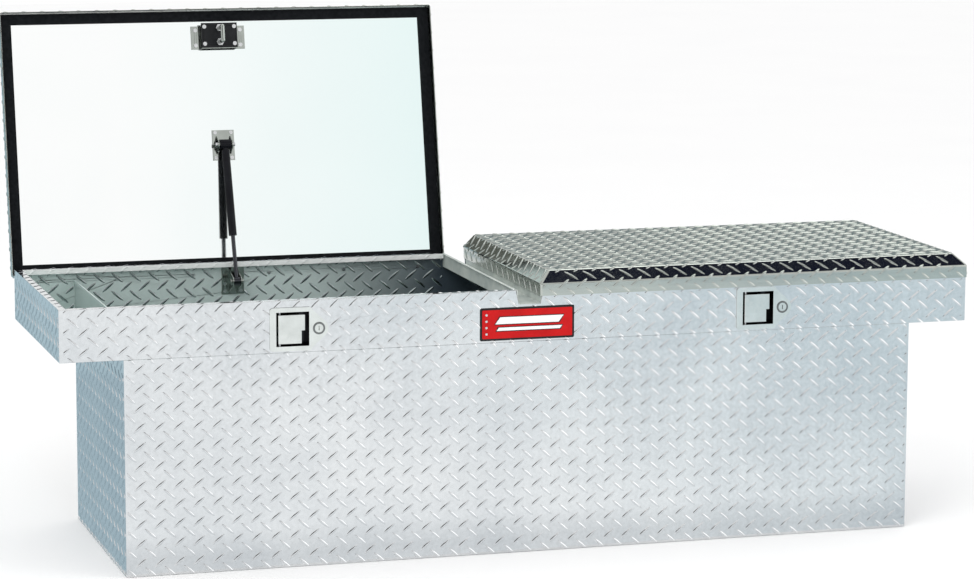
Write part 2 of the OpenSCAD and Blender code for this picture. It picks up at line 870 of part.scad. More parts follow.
// Rivets of the body's hinge leaves, strut brackets and badge, and the lock barrels' nuts
module body_fasteners() {
    color(STEEL) {
        for (side = [LEFT, RIGHT]) {
            at_side(side) for (x = rivet_xs()) {
                rivet_y([x, rear_y - sheet, body_rivet_z], 2 * sheet, 4, 2.4);
            }
            at_latch(side) {
                for (p = strut_bracket_rivets()) {
                    rivet_y([p[0], rear_y - sheet - bracket_t, p[1]], sheet + bracket_t);
                }
                difference() {
                    rod_y([lock_x, front_y + sheet, latch_z], 15.5, 5, $fn = 6);
                    rod_y([lock_x, front_y, latch_z], barrel_r + fit, 10);
                }
            }
        }
        for (i = [-1.5 : 1 : 1.5]) {
            rod_y([badge_x - badge_size[0] / 2 + 12, front_y - 2.8, badge_z + i * 12], 2.2, 1);
        }
    }
}

// Rivets of the lid's hinge leaf, striker and strut bracket, the striker's nuts
// and the visible ends of the strut's lid pivot
module lid_fasteners(side) {
    ear = lid_ear_gap + 1.8;
    pivot = [hinge_y - strut_reach, hinge_z + strut_high[1]];
    nut_h = 6;
    color(STEEL) on_hinge(side) at_side(side) {
        for (x = rivet_xs()) rivet_y([x, lid_y1 - sheet, lid_rivet_z], 2 * sheet);
        for (p = plate_rivets()) rivet_z([p[0], p[1], plate_z], plate_t + sheet);
        for (p = hat_rivets()) rivet_z([p[0], p[1], liner_z - sheet], sheet + liner_t);
        for (p = lid_bracket_rivets()) rivet_z([p[0], p[1], liner_z - sheet], sheet + liner_t, 3.6);
        for (s = [-1, 1]) difference() {
            rod_z([latch_x, striker_y + s * loop_half, plate_z - nut_h], 7.5, nut_h, $fn = 6);
            rod_z([latch_x, striker_y + s * loop_half, plate_z - nut_h - 1], loop_r + fit, nut_h + 2);
        }
        rod_x([latch_x + ear, pivot[0], pivot[1]], loop_r, 5);
        rod_x([latch_x - ear - 5, pivot[0], pivot[1]], loop_r, 5);
    }
}

tub_front();
tub_rear();
tub_end(LEFT);  // tub_end_left
tub_end(RIGHT);  // tub_end_right
tub_floor();
rail_front();
rail_rear();
wing(LEFT);  // wing_left
wing(RIGHT);  // wing_right
gutter();
hinge_leaf_body(LEFT);  // hinge_leaf_body_left
hinge_leaf_body(RIGHT);  // hinge_leaf_body_right
hinge_pins();
strut_bracket_body(LEFT);  // strut_bracket_body_left
strut_bracket_body(RIGHT);  // strut_bracket_body_right
strut_pivot_pins();
latch_bezel(LEFT);  // latch_bezel_left
latch_bezel(RIGHT);  // latch_bezel_right
latch_case(LEFT);  // latch_case_left
latch_case(RIGHT);  // latch_case_right
hook_pivots();
paddle_pins();
lock_barrel(LEFT);  // lock_barrel_left
lock_barrel(RIGHT);  // lock_barrel_right
latch_springs();
badge_plate();
badge_face();
body_fasteners();
lid_skin(LEFT);  // lid_skin_left
lid_skin(RIGHT);  // lid_skin_right
lid_liner(LEFT);  // lid_liner_left
lid_liner(RIGHT);  // lid_liner_right
lid_seal(LEFT);  // lid_seal_left
lid_seal(RIGHT);  // lid_seal_right
hinge_leaf_lid(LEFT);  // hinge_leaf_lid_left
hinge_leaf_lid(RIGHT);  // hinge_leaf_lid_right
striker_bracket(LEFT);  // striker_bracket_left
striker_bracket(RIGHT);  // striker_bracket_right
striker_plate(LEFT);  // striker_plate_left
striker_plate(RIGHT);  // striker_plate_right
striker_loop(LEFT);  // striker_loop_left
striker_loop(RIGHT);  // striker_loop_right
strut_bracket_lid(LEFT);  // strut_bracket_lid_left
strut_bracket_lid(RIGHT);  // strut_bracket_lid_right
lid_fasteners(LEFT);  // lid_fasteners_left
lid_fasteners(RIGHT);  // lid_fasteners_right
strut_tube(LEFT);  // strut_tube_left
strut_tube(RIGHT);  // strut_tube_right
strut_stud(LEFT);  // strut_stud_left
strut_stud(RIGHT);  // strut_stud_right
strut_rod(LEFT);  // strut_rod_left
strut_rod(RIGHT);  // strut_rod_right
paddle(LEFT);  // paddle_left
paddle(RIGHT);  // paddle_right
latch_hook(LEFT);  // latch_hook_left
latch_hook(RIGHT);  // latch_hook_right
lock_plug(LEFT);  // lock_plug_left
lock_plug(RIGHT);  // lock_plug_right
lock_cam(LEFT);  // lock_cam_left
lock_cam(RIGHT);  // lock_cam_right
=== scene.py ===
"""Looks of the truck tool box: tread plate, bent lids, finishes, studio and camera."""
import json
import math

import bmesh
import bpy
import numpy as np
from mathutils import Matrix, Vector


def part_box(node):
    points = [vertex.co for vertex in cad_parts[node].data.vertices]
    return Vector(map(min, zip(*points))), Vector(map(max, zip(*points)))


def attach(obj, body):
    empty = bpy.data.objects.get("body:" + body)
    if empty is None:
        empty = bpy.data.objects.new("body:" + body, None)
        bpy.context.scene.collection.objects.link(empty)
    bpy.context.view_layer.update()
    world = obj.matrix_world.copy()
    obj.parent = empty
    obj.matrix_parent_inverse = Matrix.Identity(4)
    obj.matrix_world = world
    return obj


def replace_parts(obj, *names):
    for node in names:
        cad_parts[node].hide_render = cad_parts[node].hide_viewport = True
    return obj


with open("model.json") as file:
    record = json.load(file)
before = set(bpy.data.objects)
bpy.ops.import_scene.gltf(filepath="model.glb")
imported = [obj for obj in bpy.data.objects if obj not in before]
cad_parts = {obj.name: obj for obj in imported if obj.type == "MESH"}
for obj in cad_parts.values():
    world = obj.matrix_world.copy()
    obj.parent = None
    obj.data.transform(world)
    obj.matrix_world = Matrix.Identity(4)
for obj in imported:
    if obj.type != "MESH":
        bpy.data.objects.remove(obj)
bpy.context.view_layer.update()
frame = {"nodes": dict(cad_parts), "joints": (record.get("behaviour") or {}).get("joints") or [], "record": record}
scene = bpy.context.scene
NODES = frame["nodes"]

# ---------------------------------------------------------------- sizes, in metres
MM = 0.001
SHEET = 1.5 * MM
PITCH = 36 * MM            # tread cell
BAR_L = 15.8 * MM          # half length of a bar
BAR_W = 3.1 * MM           # half width
BAR_H = 1.5 * MM
BAR_TURN = math.radians(40)
SKIRT_BAR_H = 0.5 * MM     # bars under the skirt of a closed lid
RIM_BAR_H = 1.0 * MM       # bars on the rim stay below the lid seal
SINK = 0.25 * MM           # how far a bar's base goes into the sheet
WALL_GAP = 0.4 * MM        # depth from which a point counts as inside the walls
LIP = 10.4 * MM            # the inside is bright down to this far under the rim
SAME_POINT = 0.004 * MM    # points closer than this are one point
CLOSING_ROUNDS = 3         # how often a cut mesh's flaps are deleted and its holes filled
OPEN = math.radians(102)
HINGE = next(Vector(joint["pos_m"]) for joint in frame["joints"]
             if joint["name"] == "lid_right_hinge")

skin_low, skin_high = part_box("lid_skin_right")
front_low, front_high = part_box("rail_front")
tub_low, tub_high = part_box("tub_front")
FRONT_Y = front_low.y
REAR_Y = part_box("tub_rear")[1].y
RIM_Z = front_high.z
WING_Z = front_low.z
HALF_L = front_high.x
HALF_TUB = tub_high.x


# ---------------------------------------------------------------- materials
class Nodes:
    """A short way to build one material's node tree."""

    def __init__(self, name):
        self.mat = bpy.data.materials.new(name)
        self.mat.use_nodes = True
        self.tree = self.mat.node_tree
        self.bsdf = self.tree.nodes["Principled BSDF"]
        self.coord = self.tree.nodes.new("ShaderNodeTexCoord").outputs["Object"]

    def link(self, out, target):
        self.tree.links.new(out, target)

    def noise(self, scale, detail=3, rough=0.5, stretch=None):
        source = self.coord
        if stretch:
            mapping = self.tree.nodes.new("ShaderNodeMapping")
            mapping.inputs["Scale"].default_value = stretch
            self.link(self.coord, mapping.inputs["Vector"])
            source = mapping.outputs["Vector"]
        n = self.tree.nodes.new("ShaderNodeTexNoise")
        n.inputs["Scale"].default_value = scale
        n.inputs["Detail"].default_value = detail
        n.inputs["Roughness"].default_value = rough
        self.link(source, n.inputs["Vector"])
        return n.outputs["Fac"]

    def ramp(self, fac, stops):
        n = self.tree.nodes.new("ShaderNodeValToRGB")
        elements = n.color_ramp.elements
        for element, (place, colour) in zip(elements, (stops[0], stops[-1])):
            element.position, element.color = place, (*colour, 1)
        for place, colour in stops[1:-1]:
            elements.new(place).color = (*colour, 1)
        self.link(fac, n.inputs["Fac"])
        return n.outputs["Color"]

    def range(self, fac, low, high, start=0.3, end=0.7):
        """Maps start..end to low..high."""
        n = self.tree.nodes.new("ShaderNodeMapRange")
        n.inputs["From Min"].default_value = start
        n.inputs["From Max"].default_value = end
        n.inputs["To Min"].default_value = low
        n.inputs["To Max"].default_value = high
        self.link(fac, n.inputs["Value"])
        return n.outputs["Result"]

    def mix(self, fac, a, b, blend="MIX"):
        """Colour a or b by fac, which is a number or a socket."""
        n = self.tree.nodes.new("ShaderNodeMix")
        n.data_type = "RGBA"
        n.blend_type = blend
        if isinstance(fac, float):
            n.inputs["Factor"].default_value = fac
        else:
            self.link(fac, n.inputs["Factor"])
        self.link(a, n.inputs["A"])
        self.link(b, n.inputs["B"])
        return n.outputs["Result"]

    def axis(self, index):
        """The object coordinate along X, Y or Z."""
        n = self.tree.nodes.new("ShaderNodeSeparateXYZ")
        self.link(self.coord, n.inputs["Vector"])
        return n.outputs[index]

    def math(self, kind, a, b=None):
        n = self.tree.nodes.new("ShaderNodeMath")
        n.operation = kind
        for socket, value in zip(n.inputs, (a, b)):
            if isinstance(value, (int, float)):
                socket.default_value = value
            elif value is not None:
                self.link(value, socket)
        return n.outputs["Value"]

    def inside(self):
        """1 on faces within the box's outer walls, 0 on the outside."""
        across = self.math("LESS_THAN", self.math("ABSOLUTE", self.axis(1)), REAR_Y - WALL_GAP)
        below = self.math("LESS_THAN", self.axis(2), RIM_Z - WALL_GAP)
        along = self.math("ABSOLUTE", self.axis(0))
        tub = self.math("LESS_THAN", along, HALF_TUB - WALL_GAP)
        wing = self.math("MULTIPLY", self.math("GREATER_THAN", self.axis(2), WING_Z + WALL_GAP),
                         self.math("LESS_THAN", along, HALF_L - WALL_GAP))
        walls = self.math("MULTIPLY", across, below)
        return self.math("MULTIPLY", walls, self.math("MAXIMUM", tub, wing))

    def blend(self, fac, a, b, a_value=0.0):
        """A number: socket a, or a_value if a is None, where fac is 0, and b where it is 1."""
        n = self.tree.nodes.new("ShaderNodeMix")
        n.data_type = "FLOAT"
        self.link(fac, n.inputs["Factor"])
        n.inputs["A"].default_value = a_value
        if a is not None:
            self.link(a, n.inputs["A"])
        n.inputs["B"].default_value = b
        return n.outputs["Result"]

    def bump(self, height, distance, strength):
        n = self.tree.nodes.new("ShaderNodeBump")
        n.inputs["Strength"].default_value = strength
        n.inputs["Distance"].default_value = distance
        self.link(height, n.inputs["Height"])
        return n.outputs["Normal"]

    def set(self, **values):
        """Sets constants on the shader's own sockets."""
        for key, value in values.items():
            self.bsdf.inputs[key.replace("_", " ")].default_value = value

    def colour(self, out):
        self.link(out, self.bsdf.inputs["Base Color"])

    def roughness(self, out):
        self.link(out, self.bsdf.inputs["Roughness"])

    def normal(self, out):
        self.link(out, self.bsdf.inputs["Normal"])


def aluminium(name, light, dark, rough, bumpy=0.05, streak=(1, 1, 1), mill=None):
    """Rolled sheet: slow patches of tint, fine streaks in the colour, faint surface grain.
    mill is (colour, roughness) of the sheet's duller inner side, within the box's walls; that colour also carries
    painted shade, darker toward the box's middle."""
    m = Nodes(name)
    patches = m.noise(4.5, 4, 0.55)
    grain = m.noise(140, 2, 0.5, stretch=streak)
    between = [(a + b) / 2 for a, b in zip(dark, light)]
    base = m.ramp(patches, [(0.32, dark), (0.52, between), (0.7, light)])
    specks = m.ramp(grain, [(0.25, (0.9, 0.9, 0.9)), (0.75, (1, 1, 1))])
    colour = m.mix(1.0, base, specks, "MULTIPLY")
    gloss = m.range(m.noise(26, 3, 0.6), rough[0], rough[1])
    if mill:
        inside = m.inside()
        mill_colour_and_shade = m.ramp(m.noise(7, 4), [(0.3, [c * 0.86 for c in mill[0]]), (0.7, mill[0])])
        # painted shade: the inner walls turn dark and bluish toward the middle of the box, by the centre gutter
        from_middle = m.range(m.math("ABSOLUTE", m.axis(0)), 0, 1, 0.03, 0.30)
        shade = m.ramp(from_middle, [(0.0, (0.12, 0.14, 0.18)), (1.0, (1, 1, 1))])
        mill_colour_and_shade = m.mix(1.0, mill_colour_and_shade, shade, "MULTIPLY")
        lip = m.ramp(m.noise(9, 2), [(0.3, (0.88, 0.90, 0.89)), (0.7, (0.95, 0.96, 0.95))])
        mill_colour_and_shade = m.mix(m.math("GREATER_THAN", m.axis(2), RIM_Z - LIP), mill_colour_and_shade, lip)
        colour = m.mix(inside, colour, mill_colour_and_shade)
        gloss = m.blend(inside, gloss, mill[1])
        m.link(m.blend(inside, None, 0.35, 1.0), m.bsdf.inputs["Metallic"])
    else:
        m.set(Metallic=1.0)
    m.colour(colour)
    m.roughness(gloss)
    m.normal(m.bump(m.noise(520, 2), 0.0002, bumpy))
    return m.mat


def chrome(name, tint, rough):
    """Plated or bare bright metal."""
    m = Nodes(name)
    m.colour(m.ramp(m.noise(35, 3), [(0.3, [c * 0.86 for c in tint]), (0.7, tint)]))
    m.roughness(m.range(m.noise(120, 3), rough[0], rough[1]))
    m.normal(m.bump(m.noise(300, 2), 0.0002, 0.04))
    m.set(Metallic=1.0)
    return m.mat


def dish(name, tint, rough):
    """Chrome with painted shade that turns it near black inside the latch's recess."""
    m = Nodes(name)
    plate = m.ramp(m.noise(35, 3), [(0.3, [c * 0.9 for c in tint]), (0.7, tint)])
    # painted shade: darker with depth into the recess
    depth = m.range(m.axis(1), 0, 1, FRONT_Y + 0.4 * MM, FRONT_Y + 4 * MM)
    shade = m.ramp(depth, [(0.0, (1, 1, 1)), (1.0, (0.03, 0.03, 0.035))])
    m.colour(m.mix(1.0, plate, shade, "MULTIPLY"))
    m.roughness(m.range(m.noise(120, 3), rough[0], rough[1]))
    m.set(Metallic=1.0)
    return m.mat


def liner(name):
    """Bright mirror sheet with a painted reflection: bluer toward the middle of the box."""
    m = Nodes(name)
    # painted reflection: a blue-green tint toward the middle of the box
    along = m.range(m.math("ABSOLUTE", m.axis(0)), 0, 1, 0.0, HALF_L)
    tint = m.ramp(along, [(0.0, (0.80, 0.925, 0.915)), (0.75, (0.975, 0.985, 0.98))])
    cloud = m.ramp(m.noise(3.5, 2), [(0.3, (0.975, 0.985, 0.985)), (0.7, (1, 1, 1))])
    m.colour(m.mix(1.0, tint, cloud, "MULTIPLY"))
    m.roughness(m.range(m.noise(12, 2), 0.06, 0.10))
    m.set(Metallic=1.0)
    return m.mat


def zinc(name):
    """Zinc plate with fine spangle and a warm cast on its brightest grains."""
    m = Nodes(name)
    spangle = m.noise(210, 3, 0.6)
    m.colour(m.ramp(spangle, [(0.3, (0.42, 0.43, 0.45)), (0.6, (0.6, 0.61, 0.63)),
                              (0.8, (0.72, 0.71, 0.66))]))
    m.roughness(m.range(m.noise(90, 3), 0.26, 0.45))
    m.normal(m.bump(spangle, 0.0003, 0.1))
    m.set(Metallic=1.0)
    return m.mat


def paint(name, dark, light, rough, scale=60, bump=0.1, spec=0.5):
    """Enamel or dull sheet, with faint mottling and orange peel."""
    m = Nodes(name)
    m.colour(m.ramp(m.noise(scale, 4), [(0.3, dark), (0.7, light)]))
    m.roughness(m.range(m.noise(scale * 2.5, 3), rough[0], rough[1]))
    m.normal(m.bump(m.noise(scale * 8, 2), 0.0003, bump))
    m.set(Specular_IOR_Level=spec)
    return m.mat


def foam(name):
    """Closed-cell foam rubber with open pores."""
    m = Nodes(name)
    cells = m.tree.nodes.new("ShaderNodeTexVoronoi")
    cells.inputs["Scale"].default_value = 650
    m.link(m.coord, cells.inputs["Vector"])
    m.colour(m.ramp(m.noise(180, 3), [(0.3, (0.003, 0.004, 0.005)), (0.7, (0.010, 0.011, 0.013))]))
    m.roughness(m.range(m.noise(90, 2), 0.72, 0.95))
    m.normal(m.bump(cells.outputs["Distance"], 0.0006, 0.5))
    m.set(Specular_IOR_Level=0.1)
    return m.mat


TREAD = aluminium("tread_metal", (0.745, 0.75, 0.755), (0.64, 0.655, 0.67), (0.065, 0.12),
                  streak=(1, 0.15, 1), mill=((0.60, 0.70, 0.68), 0.38))
LID = aluminium("lid_tread_metal", (0.505, 0.53, 0.49), (0.44, 0.465, 0.44), (0.09, 0.15),
                streak=(0.15, 1, 1))
LINER = liner("liner_metal")
# painted shade: a darker copy of the tread colour, for the bars inside the box
INNER_TREAD_SHADED = chrome("inner_tread_metal_painted_shade", (0.36, 0.41, 0.41), (0.14, 0.22))
FOAM = foam("foam_rubber")
ZINC = zinc("zinc_plate")
STEEL = chrome("hinge_steel", (0.72, 0.73, 0.74), (0.2, 0.34))
CHROME = chrome("latch_chrome_plate", (0.68, 0.70, 0.68), (0.09, 0.17))
BRACKET = chrome("bracket_chrome_plate", (0.42, 0.45, 0.42), (0.08, 0.16))
GUTTER = paint("gutter_sheet", (0.42, 0.47, 0.45), (0.62, 0.66, 0.62), (0.3, 0.42),
               scale=25, bump=0.05, spec=0.8)
DISH = dish("latch_dish_chrome_painted_shade", (0.70, 0.72, 0.70), (0.10, 0.18))
# steel with painted shade: the lock barrel is dark all over, standing in for the shaded gap around it
LOCK_SHADED = chrome("lock_steel_painted_gap_shade", (0.20, 0.21, 0.21), (0.14, 0.24))
ROD = chrome("strut_rod_steel", (0.06, 0.063, 0.07), (0.12, 0.2))
BLACK = paint("black_enamel", (0.004, 0.005, 0.006), (0.010, 0.011, 0.013), (0.3, 0.45),
              spec=0.25)
STRUT = paint("strut_enamel", (0.004, 0.004, 0.006), (0.009, 0.010, 0.013), (0.16, 0.26),
              scale=40, bump=0.03, spec=0.12)
BADGE = paint("badge_border_black", (0.006, 0.006, 0.007), (0.014, 0.014, 0.015), (0.3, 0.45),
              spec=0.25)
RED = paint("badge_red_enamel", (0.44, 0.002, 0.003), (0.55, 0.004, 0.005), (0.3, 0.42),
            scale=30, bump=0.03, spec=0.15)
WHITE = paint("badge_white_enamel", (0.78, 0.78, 0.77), (0.88, 0.88, 0.87), (0.2, 0.32),
              scale=40, bump=0.03, spec=0.2)

# the CAD record's material slots, and the kinds of node that differ from their slot
BY_SLOT = {
    "tread_plate": TREAD, "lid_tread_plate": LID, "liner_sheet": LINER, "foam_seal": FOAM,
    "rivets_and_hinges": STEEL, "latch_chrome": CHROME, "bracket_chrome": BRACKET,
    "black_paint": BLACK, "strut_black": STRUT, "badge_black": BADGE, "badge_red": RED,
    "zinc_steel": ZINC,
}
BY_NAME = {"strut_rod": ROD, "latch_bezel": DISH, "lock_barrel": LOCK_SHADED, "gutter": GUTTER}


# ---------------------------------------------------------------- carried-over CAD nodes
NODE_SLOT = {part["node"]: part["material_slot"] for part in frame["record"]["subparts"]}
# bevel widths in mm, by what a node's name contains; "tub" also holds for the strut tubes
EDGES = {"tub": 0.6, "rail": 0.8, "wing": 0.8, "latch_bezel": 0.9, "paddle": 0.7,
         "lock_barrel": 0.8, "fasteners": 0.7, "striker_plate": 0.5, "strut_bracket": 0.5,
         "lid_seal": 1.2}
PLAIN_EDGE = 0.35


def edge_of(name):
    return next((width for key, width in EDGES.items() if key in name), PLAIN_EDGE) * MM


for name, obj in NODES.items():
    kind = name.removesuffix("_left").removesuffix("_right")
    material = BY_NAME.get(kind, BY_SLOT[NODE_SLOT[name]])
    if not obj.material_slots:
        obj.data.materials.append(material)
    for place in obj.material_slots:
        place.material = material
    weld = obj.modifiers.new("weld", "WELD")
    weld.merge_threshold = 0.01 * MM
    bevel = obj.modifiers.new("edge", "BEVEL")
    bevel.width = edge_of(name)
    bevel.segments = 2
    bevel.limit_method = "ANGLE"
    bevel.angle_limit = math.radians(35)
    bevel.harden_normals = False
    obj.data.shade_smooth()
    obj.modifiers.new("normals", "WEIGHTED_NORMAL").keep_sharp = False


# ---------------------------------------------------------------- mesh helpers
def put(name, mesh, material, body):
    """Adds a mesh to the scene as one piece that rides a body."""
    mesh.materials.append(material)
    obj = bpy.data.objects.new(name, mesh)
    scene.collection.objects.link(obj)
    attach(obj, body)
    return obj


def add_piece(name, verts, faces, material, body):
    """A closed piece from points and faces, with its faces turned outward."""
    mesh = bpy.data.meshes.new(name)
    mesh.from_pydata([tuple(v) for v in verts], [], [tuple(f) for f in faces])
    mesh.validate()
    bm = bmesh.new()
    bm.from_mesh(mesh)
    bmesh.ops.recalc_face_normals(bm, faces=bm.faces[:])
    bm.to_mesh(mesh)
    bm.free()
    return put(name, mesh, material, body)


def closed_to_left(points):
    """Points of the closed right lid, mirrored to the left lid and swung open."""
    p = np.array(points, float)
    p[:, 0] *= -1
    y = p[:, 1] - HINGE.y
    z = p[:, 2] - HINGE.z
    c, s = math.cos(-OPEN), math.sin(-OPEN)
    p[:, 1] = HINGE.y + y * c - z * s
    p[:, 2] = HINGE.z + y * s + z * c
    return p


# ---------------------------------------------------------------- tread bars
def bar_template():
    """One pointed bar along its own first axis: rings of five points, and a point at each end."""
    stations = (-0.86, -0.55, 0.0, 0.55, 0.86)      # along the bar, as shares of BAR_L
    across = (-1.0, -0.52, 0.0, 0.52, 1.0)          # each ring's points, as shares of its width
    up = (0.0, 0.82, 1.0, 0.82, 0.0)                # and of its height
    verts = []
    for t in stations:
        width = BAR_W * (1 - t * t) ** 0.62
        height = (BAR_H + SINK) * (1 - t * t) ** 0.45
        for a, h in zip(across, up):
            verts.append((t * BAR_L, a * width, height * h - SINK))
    first = len(verts)
    verts += [(-BAR_L, 0, -SINK), (BAR_L, 0, -SINK)]
    faces = []
    for i in range(len(stations) - 1):
        for j in range(4):
            a = 5 * i + j
            faces.append((a, a + 5, a + 6, a + 1))
        a = 5 * i
        faces.append((a, a + 4, a + 9, a + 5))
    last = 5 * (len(stations) - 1)
    for j in range(4):
        faces.append((first, j, j + 1))
        faces.append((first + 1, last + j + 1, last + j))
    faces.append((first, 4, 0))
    faces.append((first + 1, last, last + 4))
    return np.array(verts), faces


BAR_VERTS, BAR_FACES = bar_template()


def lattice(low, high, phase, skips=()):
    """Bars near the rectangle low..high, as (u, v, which way it leans). phase is the centre of
    one bar. Bars whose centres lie in a skip rectangle are left out."""
    def steps(axis, first):
        return range(math.ceil((low[axis] - BAR_L - first) / PITCH),
                     math.floor((high[axis] + BAR_L - first) / PITCH) + 1)

    bars = []
    for kind, shift in ((1, 0.0), (-1, PITCH / 2)):
        u0, v0 = phase[0] + shift, phase[1] + shift
        for i in steps(0, u0):
            for j in steps(1, v0):
                u, v = u0 + i * PITCH, v0 + j * PITCH
                if not any(a[0] < u < b[0] and a[1] < v < b[1] for a, b in skips):
                    bars.append((u, v, kind))
    return bars


def bars_mesh(bars):
    """A bmesh of bars in the flat sheet's own plane, with its outside along +Z."""
    blocks, faces = [], []
    x, y, z = BAR_VERTS.T
    for u, v, kind in bars:
        c, s = math.cos(kind * BAR_TURN), math.sin(kind * BAR_TURN)
        start = len(blocks) * len(BAR_VERTS)
        blocks.append(np.stack([u + x * c - y * s, v + x * s + y * c, z], 1))
        faces += [tuple(start + i for i in f) for f in BAR_FACES]
    mesh = bpy.data.meshes.new("flat")
    if blocks:
        mesh.from_pydata(np.concatenate(blocks).tolist(), [], faces)
    bm = bmesh.new()
    bm.from_mesh(mesh)
    bpy.data.meshes.remove(mesh)
    return bm


def cut(bm, planes, extra=()):
    """Keeps what lies inside every plane (point, direction to keep), and adds edges along the
    extra planes."""
    def bisect(point, normal, clear):
        bmesh.ops.bisect_plane(bm, geom=bm.verts[:] + bm.edges[:] + bm.faces[:], dist=1e-7,
                               plane_co=(*point, 0), plane_no=(*normal, 0), clear_outer=clear)

    for point, keep in planes:
        bisect(point, (-keep[0], -keep[1]), True)
    for point, normal in extra:
        bisect(point, normal, False)


def rectangle(low, high):
    """Cut planes that keep what lies between the corners low and high."""
    return [((low[0], 0), (1, 0)), ((high[0], 0), (-1, 0)),
            ((0, low[1]), (0, 1)), ((0, high[1]), (0, -1))]


def fill_holes(bm):
    bmesh.ops.holes_fill(bm, edges=[e for e in bm.edges if e.is_boundary], sides=0)


def finish_bars(name, parts, material, body, after=None):
    """parts are (bmesh, mapping of its points to the box); they are welded into one piece, and
    what the cuts left open is closed."""
    whole = bmesh.new()
    for bm, place in parts:
        if not bm.verts:
            bm.free()
            continue
        co = place(np.array([v.co for v in bm.verts], float))
        if after is not None:
            co = after(co)
        for vert, point in zip(bm.verts, co):
            vert.co = point
        mesh = bpy.data.meshes.new("part")
        bm.to_mesh(mesh)
        bm.free()
        whole.from_mesh(mesh)
        bpy.data.meshes.remove(mesh)
    bmesh.ops.remove_doubles(whole, verts=whole.verts[:], dist=SAME_POINT)
    fill_holes(whole)
    bmesh.ops.dissolve_degenerate(whole, edges=whole.edges[:], dist=SAME_POINT)
    for _ in range(CLOSING_ROUNDS):
        flaps = [f for f in whole.faces if any(e.is_boundary for e in f.edges)]
        bmesh.ops.delete(whole, geom=flaps, context="FACES")
        bmesh.ops.delete(whole, geom=[e for e in whole.edges if e.is_wire], context="EDGES")
        fill_holes(whole)
    bmesh.ops.delete(whole, geom=[v for v in whole.verts if not v.link_faces], context="VERTS")
    bmesh.ops.recalc_face_normals(whole, faces=whole.faces[:])
    mesh = bpy.data.meshes.new(name)
    whole.to_mesh(mesh)
    whole.free()
    mesh.shade_smooth()
    mesh.set_sharp_from_angle(angle=math.radians(55))
    return put(name, mesh, material, body)


def flat_place(origin, u_dir, v_dir, out):
    """Maps a flat sheet's plane to the box."""
    origin, u_dir, v_dir, out = (np.array(a, float) for a in (origin, u_dir, v_dir, out))
    return lambda p: origin + p[:, :1] * u_dir + p[:, 1:2] * v_dir + p[:, 2:3] * out


SKIRT_START = RIM_Z - 17 * MM     # bars get lower from here
SKIRT_FULL = RIM_Z - 13 * MM      # to here, where the skirt of a closed lid passes


def panel(name, place, rects, phase, skips=(), material=TREAD, under_lid=False):
    """Bars on flat sheet of the body: rects are (low, high) in the sheet's plane. Bars that a
    closed lid's skirt passes over are pressed lower there."""
    def lowered(p):
        p = p.copy()
        share = np.interp(p[:, 1], [SKIRT_START, SKIRT_FULL], [1.0, SKIRT_BAR_H / BAR_H])
        p[:, 2] = np.where(p[:, 2] > 0, p[:, 2] * share, p[:, 2])
        return place(p)

    extra = [((0, SKIRT_START), (0, 1)), ((0, SKIRT_FULL), (0, 1))] if under_lid else []
    parts = []
    for low, high in rects:
        bm = bars_mesh(lattice(low, high, phase, skips))
        cut(bm, rectangle(low, high), extra)
        parts.append((bm, lowered if under_lid else place))
    return finish_bars(name, parts, material, "body")


LATCH_X, LATCH_Z = 455 * MM, 446 * MM     # middle of a latch
LATCH_HALF = 41 * MM                      # bars centred this near a latch's middle are left out
LOCK_REACH = 60 * MM                      # and this near on the side of its lock
BRACKET_HALF = 21 * MM                    # bars centred behind a lower strut clevis are left out
BRACKET_LOW, BRACKET_HIGH = 435 * MM, 489 * MM
HINGE_LEAF_LOW = 462 * MM                 # the rear rail's bars end under the hinge leaves
EDGE_GAP = 1.5 * MM                       # bars stay this far from a free edge
SEAM_GAP = 0.6 * MM                       # and this far from the seam of tub and rails
FOOT_GAP = 2 * MM                         # and this far above the box's underside
BEND = 8 * MM                             # and this far from the box's vertical corners
NOTCH = 27 * MM                           # half the width left free for the centre gutter
FLANGE = 14.5 * MM                        # width of the rim's flange
RIM_BAND = 9.4 * MM                       # bars on its turned-down edge reach this far down
INNER_END = 16 * MM                       # inner bars stop this far from the wings' ends
INNER_GAP = 3 * MM                        # and this far from the tub's end walls
TUB_ENDS = (tub_low.x + BEND / 2, tub_high.x - BEND / 2)
top_z = RIM_Z - EDGE_GAP
inner_low, inner_high = WING_Z + 4 * MM, RIM_Z - 12 * MM
gutter_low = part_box("gutter")[0]
badge_low, badge_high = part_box("badge_plate")
BADGE_EDGE = 2 * MM
badge_skip = ((badge_low.x + BADGE_EDGE, badge_low.z + BADGE_EDGE),
              (badge_high.x - BADGE_EDGE, badge_high.z - BADGE_EDGE))
latch_skips = [((s * LATCH_X - LATCH_HALF, LATCH_Z - LATCH_HALF),
                (s * LATCH_X + LOCK_REACH, LATCH_Z + LATCH_HALF)) for s in (-1, 1)]
bracket_skips = [((s * LATCH_X - BRACKET_HALF, BRACKET_LOW),
                  (s * LATCH_X + BRACKET_HALF, BRACKET_HIGH)) for s in (-1, 1)]

front = flat_place((0, FRONT_Y, 0), (1, 0, 0), (0, 0, 1), (0, -1, 0))
panel("tread_tub_front", front, [((TUB_ENDS[0], FOOT_GAP), (TUB_ENDS[1], WING_Z - SEAM_GAP))],
      (-740.6 * MM, 385 * MM))
panel("tread_rail_front", front,
      [((-HALF_L + BEND, WING_Z + SEAM_GAP), (-NOTCH, top_z)),
       ((-NOTCH, WING_Z + SEAM_GAP), (NOTCH, gutter_low.z - 1 * MM)),
       ((NOTCH, WING_Z + SEAM_GAP), (HALF_L - BEND, top_z))],
      (-769.6 * MM, 456 * MM), latch_skips + [badge_skip], under_lid=True)

